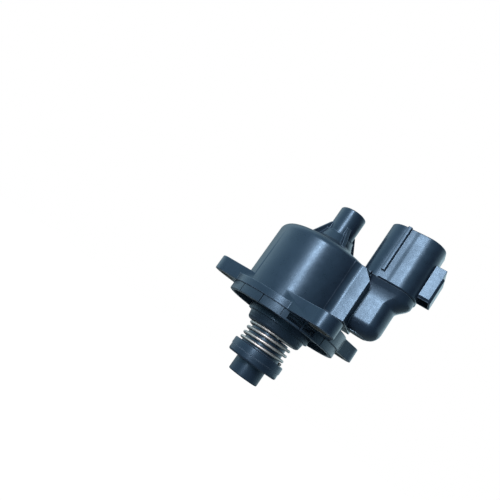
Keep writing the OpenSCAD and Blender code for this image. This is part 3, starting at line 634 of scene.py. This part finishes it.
class IACV_OT_stage(bpy.types.Operator):
    """Camera at the photograph's viewing angle, main lamp, surroundings and floor"""

    bl_idname = "iacv.stage"
    bl_label = "Stage"

    def execute(self, context):
        stage = context.scene.iacv_stage
        self.add_camera(context)
        self.add_key_lamp(context, stage)
        self.add_world(context)
        self.add_floor(stage)
        context.scene.view_settings.view_transform = "Standard"
        return {"FINISHED"}

    def add_camera(self, context):
        """The camera that fits the ellipses and edges of the photographed valve."""
        camera = bpy.data.objects.new("camera", bpy.data.cameras.new("camera"))
        context.collection.objects.link(camera)
        camera.data.lens = 36
        camera.data.sensor_width = 36
        camera.data.clip_start = 0.005
        right, up = Vector(CAMERA_RIGHT), Vector(CAMERA_UP)
        back = right.cross(up).normalized()
        up = back.cross(right).normalized()
        turn = Matrix((right.normalized(), up, back)).transposed().to_4x4()
        camera.matrix_world = Matrix.Translation(Vector(CAMERA_PLACE) * MM) @ turn
        context.scene.camera = camera

    def add_key_lamp(self, context, stage):
        """Tall soft lamp beside the camera, which draws the long streaks on the body."""
        lamp = bpy.data.lights.new("key_lamp", "AREA")
        lamp.shape = "RECTANGLE"
        lamp.size = stage.key_width
        lamp.size_y = stage.key_height
        lamp.energy = stage.key_power
        lamp.color = LAMP_COLOUR
        holder = bpy.data.objects.new("key_lamp", lamp)
        context.collection.objects.link(holder)
        level = math.cos(stage.key_elevation)
        towards = Vector((
            level * math.cos(stage.key_azimuth),
            level * math.sin(stage.key_azimuth),
            math.sin(stage.key_elevation),
        ))
        holder.location = Vector(LAMP_TARGET) + towards * LAMP_DISTANCE
        holder.rotation_euler = towards.to_track_quat("Z", "Y").to_euler()

    def add_world(self, context):
        """White to look at. Its light follows SURROUNDINGS and is weaker from below."""
        world = bpy.data.worlds.new("surroundings")
        context.scene.world = world
        world.use_nodes = True
        nodes, links = world.node_tree.nodes, world.node_tree.links
        nodes.clear()
        output = nodes.new("ShaderNodeOutputWorld")
        coordinates = nodes.new("ShaderNodeTexCoord")
        part = nodes.new("ShaderNodeSeparateXYZ")
        links.new(coordinates.outputs["Generated"], part.inputs["Vector"])
        azimuth = nodes.new("ShaderNodeMath")
        azimuth.operation = "ARCTAN2"
        links.new(part.outputs["Y"], azimuth.inputs[0])
        links.new(part.outputs["X"], azimuth.inputs[1])
        turn = nodes.new("ShaderNodeMapRange")
        turn.inputs["From Min"].default_value = -math.pi
        turn.inputs["From Max"].default_value = math.pi
        links.new(azimuth.outputs["Value"], turn.inputs["Value"])
        ring = nodes.new("ShaderNodeValToRGB")
        stops = ring.color_ramp.elements
        peak = max(strength for _, strength in SURROUNDINGS)
        while len(stops) < len(SURROUNDINGS):
            stops.new(1.0)
        for stop, (degrees, strength) in zip(stops, SURROUNDINGS):
            stop.position = (degrees + 180) / 360
            stop.color = (strength / peak,) * 3 + (1,)
        links.new(turn.outputs["Result"], ring.inputs["Fac"])
        height = nodes.new("ShaderNodeMapRange")
        height.interpolation_type = "SMOOTHSTEP"
        height.inputs["From Min"].default_value = -0.6
        height.inputs["From Max"].default_value = 0.1
        height.inputs["To Min"].default_value = 0.35 * peak
        height.inputs["To Max"].default_value = peak
        links.new(part.outputs["Z"], height.inputs["Value"])
        strength = nodes.new("ShaderNodeMath")
        strength.operation = "MULTIPLY"
        links.new(ring.outputs["Color"], strength.inputs[0])
        links.new(height.outputs["Result"], strength.inputs[1])
        light = nodes.new("ShaderNodeBackground")
        light.inputs["Color"].default_value = (*SKY_COLOUR, 1)
        links.new(strength.outputs["Value"], light.inputs["Strength"])
        white = nodes.new("ShaderNodeBackground")
        white.inputs["Color"].default_value = (1, 1, 1, 1)
        path = nodes.new("ShaderNodeLightPath")
        choose = nodes.new("ShaderNodeMixShader")
        links.new(path.outputs["Is Camera Ray"], choose.inputs["Fac"])
        links.new(light.outputs["Background"], choose.inputs[1])
        links.new(white.outputs["Background"], choose.inputs[2])
        links.new(choose.outputs["Shader"], output.inputs["Surface"])

    def add_floor(self, stage):
        """Grey floor well below the valve, white to look at apart from a faint shadow."""
        bpy.ops.mesh.primitive_plane_add(size=4, location=(0, 0, stage.floor_z))
        floor = bpy.context.object
        floor.name = "floor"
        material, shader = start_material("floor", Roughness=0.9)
        shader.inputs["Base Color"].default_value = (*FLOOR_COLOUR, 1)
        glow = add_node(material, "Emission")
        glow.inputs["Strength"].default_value = 1.15
        mix = add_node(material, "MixShader")
        path = add_node(material, "LightPath")
        keep_shadow = add_node(material, "Math", operation="MULTIPLY")
        keep_shadow.inputs[1].default_value = 0.88
        link(material, path.outputs["Is Camera Ray"], keep_shadow.inputs[0])
        link(material, keep_shadow.outputs["Value"], mix.inputs["Fac"])
        link(material, shader.outputs["BSDF"], mix.inputs[1])
        link(material, glow.outputs["Emission"], mix.inputs[2])
        output = material.node_tree.nodes["Material Output"]
        link(material, mix.outputs["Shader"], output.inputs["Surface"])
        floor.data.materials.append(material)


class IACV_OT_finishes(bpy.types.Operator):
    """Gives every CAD node the finish of its material slot"""

    bl_idname = "iacv.finishes"
    bl_label = "Finishes"

    def execute(self, context):
        FINISHES.update(make_finishes(context.scene.iacv_finish))
        for entry in frame["record"]["subparts"]:
            node = frame["nodes"][entry["node"]]
            for material_slot in node.material_slots:
                material_slot.material = FINISHES[entry["material_slot"]]
        return {"FINISHED"}


class IACV_OT_body(bpy.types.Operator):
    """The body moulding: edges rounded; arm, web, socket, rail and latch modelled anew"""

    bl_idname = "iacv.body"
    bl_label = "Body moulding"

    # Boxes in mm cut off the solid: its plain arm and socket, a web fillet, the socket's near wall
    CUTS = (
        (19.9, 45, -15, 15, 6.4, 50),
        (14.4, 20.5, -17, -11.8, 7.85, 27.75),
        (15.55, 45, -12, 12, 29.02, 50),
    )

    def execute(self, context):
        finish = context.scene.iacv_finish
        piece = copy_solid("housing", "body_moulding")
        cut_boxes(piece, self.CUTS)
        holes = [(reach, math.radians(degrees)) for reach, degrees in SCREW_HOLES]

        def outside(edge):
            """Leaves out the screw holes, the hidden inside and what the new parts cover."""
            for vert in edge.verts:
                x, y, z = in_mm(vert.co)
                r = radius_mm(vert.co)
                near_hole = any(
                    math.hypot(x - reach * math.cos(turn), y - reach * math.sin(turn)) < 4.6
                    for reach, turn in holes
                )
                if near_hole or z < 0.5 and r < 22.7:
                    return False
                if r < 19.0 and z < 28.5 and x < 17:
                    return False
                if z > 6 and (x > 12.5 and y < -11 or x > 14.8 and abs(y) < 13):
                    return False
            return True

        round_edges(piece, finish.edge, outside)
        settle_normals(piece, "housing")
        socket = self.make_socket()
        parts = [
            piece, self.make_web(), self.make_arm(), socket, self.make_rail(), self.make_latch(),
        ]
        clear_selection()
        for part in parts:
            part.select_set(True)
        bpy.context.view_layer.objects.active = piece
        bpy.ops.object.join()
        finish_piece(piece, VALVE_BODY, "body_plastic", FINISHES["body_plastic"], "housing")
        return {"FINISHED"}

    def make_web(self):
        """The block between body and arm, with its fillets and slanted top."""
        outline = []
        for degrees in range(-42, 24, 6):
            turn = math.radians(degrees)
            outline.append((18.7 * math.cos(turn), 18.7 * math.sin(turn)))
        for side, corner, sign in ((8.06, 1.7, 1), (-12.56, 4.5, -1)):
            reach = math.sqrt((FILLET_R + corner) ** 2 - (abs(side) + corner) ** 2)
            middle = Vector((reach, side + sign * corner))
            start = math.atan2(-middle.y, -middle.x)
            end = -sign * math.pi / 2
            arc = []
            for step in range(9):
                turn = start + (end - start) * step / 8
                arc.append((middle.x + corner * math.cos(turn), middle.y + corner * math.sin(turn)))
            outline += arc + [(21.73, side)] if sign > 0 else [(21.73, side)] + arc[::-1]
        piece = draw_face("web", [(x, y, 7.78) for x, y in outline])
        bpy.ops.mesh.extrude_region_move(TRANSFORM_OT_translate={"value": (0, 0, 20.05 * MM)})
        make_outward()
        bpy.ops.mesh.bisect(
            plane_co=(17.9 * MM, 0, 27.83 * MM), plane_no=(1.3, 0, 3.8),
            use_fill=True, clear_outer=True,
        )

        def outer_edge(edge):
            middle = (edge.verts[0].co + edge.verts[1].co) / 2
            return middle.x > 17 * MM and (middle.x > 21.6 * MM or middle.z > 26 * MM)

        round_edges(piece, 0.4 * MM, outer_edge, 3)
        settle_normals(piece)
        return piece

    def make_arm(self):
        """The arm from the body up to the socket: rounded foot, S-shaped flare."""
        left, foot, edge = 19.0, 8.2, 4.6
        levels = []
        for degrees in (12, 24, 36, 48, 60, 75, 90):
            turn = math.radians(degrees)
            inset = edge * (1 - math.sin(turn))
            levels.append((foot + edge * (1 - math.cos(turn)), 32.5 - inset, 7 - inset))
        for step in range(9):
            share = step / 8
            ease = share * share * (3 - 2 * share)
            levels.append((20.8 + 5.2 * share, 32.5 + 3.7 * ease, 7 + 0.75 * share ** 1.7))
        levels.append((28.1, 36.25, 8.5))
        base = rounded_outline(left, levels[0][1], levels[0][2], 1.1, 3.3)
        piece = draw_face("arm", [(x, y, foot) for x, y in base])
        height, right, half = foot, levels[0][1], levels[0][2]
        for z, new_right, new_half in levels:
            bpy.ops.mesh.extrude_region_move(
                TRANSFORM_OT_translate={"value": (0, 0, (z - height) * MM)}
            )
            bpy.ops.transform.resize(
                value=((new_right - left) / (right - left), new_half / half, 1),
                center_override=(left * MM, 0, z * MM),
            )
            height, right, half = z, new_right, new_half
        make_outward()
        settle_normals(piece)
        return piece

    def make_socket(self):
        """The plug socket: a crowned, rounded box open at the top."""
        foot, height, crown = 27.9, 21, 0.25
        outline = []
        for x, y in rounded_outline(15.6, 36.4, 9.3, 5.7, 6.6, 10, 14):
            share = max(0, (abs(y) - 2.7) / 6.6)
            back = math.sin(math.pi / 2 * min(1, abs(x - 30.5) / 13)) ** 2
            y -= math.copysign(crown * back * share, y)
            if y < 0 and x < 25.7:
                y += LEDGE
            outline.append((x, y, foot))
        piece = draw_face("socket", outline)
        bpy.ops.mesh.extrude_region_move(TRANSFORM_OT_translate={"value": (0, 0, height * MM)})
        bpy.ops.mesh.inset(thickness=1.6 * MM, use_even_offset=True)
        bpy.ops.mesh.extrude_region_move(TRANSFORM_OT_translate={"value": (0, 0, -17.4 * MM)})
        make_outward()
        round_edges(piece, 0.35 * MM, lambda edge: all(
            v.co.z > (foot + height - 0.01) * MM for v in edge.verts), 3)
        round_edges(piece, 0.5 * MM, lambda edge: all(
            v.co.z < (foot + 0.01) * MM and v.co.x > 21.5 * MM for v in edge.verts), 3)
        settle_normals(piece)
        return piece

    def make_rail(self):
        """The key rail down the socket's front."""
        clear_selection()
        bpy.ops.mesh.primitive_cube_add(size=1, location=(22.5 * MM, -9.05 * MM, 39.85 * MM))
        piece = bpy.context.object
        piece.name = "rail"
        bpy.ops.transform.resize(value=(1.6 * MM, 2.1 * MM, 18.3 * MM))
        bpy.ops.object.transform_apply(location=True, rotation=False, scale=True)
        bpy.ops.object.mode_set(mode="EDIT")
        if pick(piece, "verts", lambda vert: vert.co.y < -9 * MM and vert.co.x < 22 * MM):
            bpy.ops.transform.translate(value=(0, LEDGE * MM, 0))
        round_edges(piece, 0.6 * MM, lambda edge: all(
            v.co.y < -9 * MM and v.co.x > 23 * MM for v in edge.verts), 4)
        round_edges(piece, 0.2 * MM, lambda edge: all(v.co.y < -9 * MM for v in edge.verts), 3)
        settle_normals(piece)
        return piece

    def make_latch(self):
        """The latch block: notched at its top, chamfered along its outer front edges."""
        outline = ((35.6, 29.8), (40.8, 29.8), (40.8, 39.8), (40.0, 39.8), (40.0, 42.8), (35.6, 42.8))
        piece = draw_face("latch", [(x, -4.5, z) for x, z in outline])
        bpy.ops.mesh.extrude_region_move(TRANSFORM_OT_translate={"value": (0, 9 * MM, 0)})
        make_outward()
        pick(piece, "faces", lambda face: face.normal.z < -0.9)
        bpy.ops.mesh.inset(thickness=0.7 * MM)
        bpy.ops.mesh.extrude_region_move(TRANSFORM_OT_translate={"value": (0, 0, 2.4 * MM)})

        def front_edge(edge):
            middle = (edge.verts[0].co + edge.verts[1].co) / 2
            at_front = all(v.co.y < -4.4 * MM for v in edge.verts)
            return at_front and (middle.x > 40.5 * MM or middle.z < 29.9 * MM)

        round_edges(piece, 0.8 * MM, front_edge, 1)
        round_edges(piece, 0.22 * MM, lambda edge: True, 2)
        settle_normals(piece)
        return piece


class IACV_OT_spring(bpy.types.Operator):
    """The compression spring: round wire wound right-handed, with closed ends"""

    bl_idname = "iacv.spring"
    bl_label = "Spring"

    def execute(self, context):
        wire, turns, closed, start = 1.06 * MM, 7, 0.75, math.radians(20)
        low, high = (corner[2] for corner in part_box("spring"))
        low, high, radius = low + wire / 2, high - wire / 2, 8.65 * MM
        flat_rise = (wire + 0.03 * MM) * closed
        steps = turns * 40
        points = []
        for step in range(steps + 1):
            turn = turns * step / steps
            if turn < closed:
                z = low + flat_rise * turn / closed
            elif turn > turns - closed:
                z = high - flat_rise * (turns - turn) / closed
            else:
                share = (turn - closed) / (turns - 2 * closed)
                z = low + flat_rise + (high - low - 2 * flat_rise) * share
            angle = start + turn * 2 * math.pi
            points.append((radius * math.cos(angle), radius * math.sin(angle), z))
        piece = draw_line("return_spring", points)
        bpy.ops.object.convert(target="CURVE")
        piece = bpy.context.object
        piece.data.bevel_depth = wire / 2
        piece.data.bevel_resolution = 4
        piece.data.use_fill_caps = True
        bpy.ops.object.convert(target="MESH")
        piece = bpy.context.object
        piece.name = "return_spring"
        bpy.ops.object.shade_smooth_by_angle(angle=math.radians(SHARP_DEGREES))
        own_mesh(piece)
        finish_piece(piece, VALVE_BODY, "bright_steel", FINISHES["spring_wire"], "spring")
        return {"FINISHED"}


class IACV_OT_pintle(bpy.types.Operator):
    """The pintle's disc and nose, and the shank with its two flats"""

    bl_idname = "iacv.pintle"
    bl_label = "Pintle and shank"

    # Radius, height and corner size in mm: bore, spring sleeve, seat, banded disc and nose
    OUTLINE = (
        (0, -20.27, 0), (3.03, -20.27, 0), (3.03, -15.2, 0.15), (5.5, -15.2, 0.3), (5.5, -8.8, 0.2),
        (7.6, -8.8, 0.35), (7.6, -14.67, 0.15), (7.9, -14.67, 0.15), (7.9, -16.07, 0.2),
        (10.3, -16.07, 0.45), (10.3, -18.87, 0.1), (10.1, -18.87, 0.05), (10.1, -21.27, 0.7),
        (6.0, -21.27, 0.3), (6.0, -26.87, 0.45), (0, -26.87, 0),
    )

    def execute(self, context):
        piece = turn_outline("pintle_head", self.OUTLINE)
        settle_normals(piece)
        finish_piece(piece, PINTLE_SET, "body_plastic", FINISHES["body_plastic"], "pintle")
        piece = copy_solid("lead_screw", "screw_shank")
        round_edges(piece, 0.12 * MM, lambda edge: edge.verts[0].co.z > -0.022)
        settle_normals(piece, "lead_screw")
        finish_piece(piece, PINTLE_SET, "bright_steel", FINISHES["bright_steel"], "lead_screw")
        return {"FINISHED"}


class IACV_OT_cap(bpy.types.Operator):
    """The front cap: two windows cut in its rim, and its edges rounded"""

    bl_idname = "iacv.cap"
    bl_label = "Front cap"

    # Directions in degrees of the windows in the rim, and half their widths in mm
    WINDOWS = ((-62.8, 2.95), (-47.8, 2.45))

    def execute(self, context):
        piece = copy_solid("front_cap", "cap_moulding")
        for degrees, half in self.WINDOWS:
            cut_boxes(piece, ((19.5, 24, -half, half, -2.5, -0.35),), math.radians(degrees))

        def rim_foot(edge):
            return all(v.co.z < -3.1 * MM and radius_mm(v.co) > 22.2 for v in edge.verts)

        def below_rim(edge):
            return all(v.co.z < -0.5 * MM and radius_mm(v.co) < 20.4 for v in edge.verts)

        round_edges(piece, 0.25 * MM, rim_foot)
        round_edges(piece, 0.12 * MM, below_rim)
        settle_normals(piece)
        finish_piece(piece, VALVE_BODY, "cap_plastic", FINISHES["cap_plastic"], "front_cap")
        return {"FINISHED"}


class IACV_OT_sleeves(bpy.types.Operator):
    """The plated sleeves that line the ears"""

    bl_idname = "iacv.sleeves"
    bl_label = "Ear sleeves"

    def execute(self, context):
        for number in (1, 2, 3):
            node = f"limiter_{number}"
            piece = copy_solid(node, f"ear_sleeve_{number}")
            round_edges(piece, 0.15 * MM, lambda edge: True)
            settle_normals(piece, node)
            finish_piece(piece, VALVE_BODY, "plated_steel", FINISHES["plated_steel"], node)
        return {"FINISHED"}


class IACV_PT_panel(bpy.types.Panel):
    """Lists the steps that dress the valve"""

    bl_label = "Valve"
    bl_space_type = "VIEW_3D"
    bl_region_type = "UI"
    bl_category = "Valve"

    def draw(self, context):
        for step in STEPS:
            self.layout.operator(step.bl_idname)


STEPS = (
    IACV_OT_finishes, IACV_OT_body, IACV_OT_cap, IACV_OT_sleeves, IACV_OT_pintle, IACV_OT_spring,
    IACV_OT_stage,
)
CLASSES = (FinishSettings, StageSettings, *STEPS, IACV_PT_panel)


def register():
    for cls in CLASSES:
        bpy.utils.register_class(cls)
    bpy.types.Scene.iacv_finish = PointerProperty(type=FinishSettings)
    bpy.types.Scene.iacv_stage = PointerProperty(type=StageSettings)


def unregister():
    del bpy.types.Scene.iacv_stage
    del bpy.types.Scene.iacv_finish
    for cls in reversed(CLASSES):
        bpy.utils.unregister_class(cls)


def main():
    """Registers the add-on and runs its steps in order."""
    register()
    for step in ("finishes", "body", "cap", "sleeves", "pintle", "spring", "stage"):
        getattr(bpy.ops.iacv, step)()


if __name__ == "__main__":
    main()
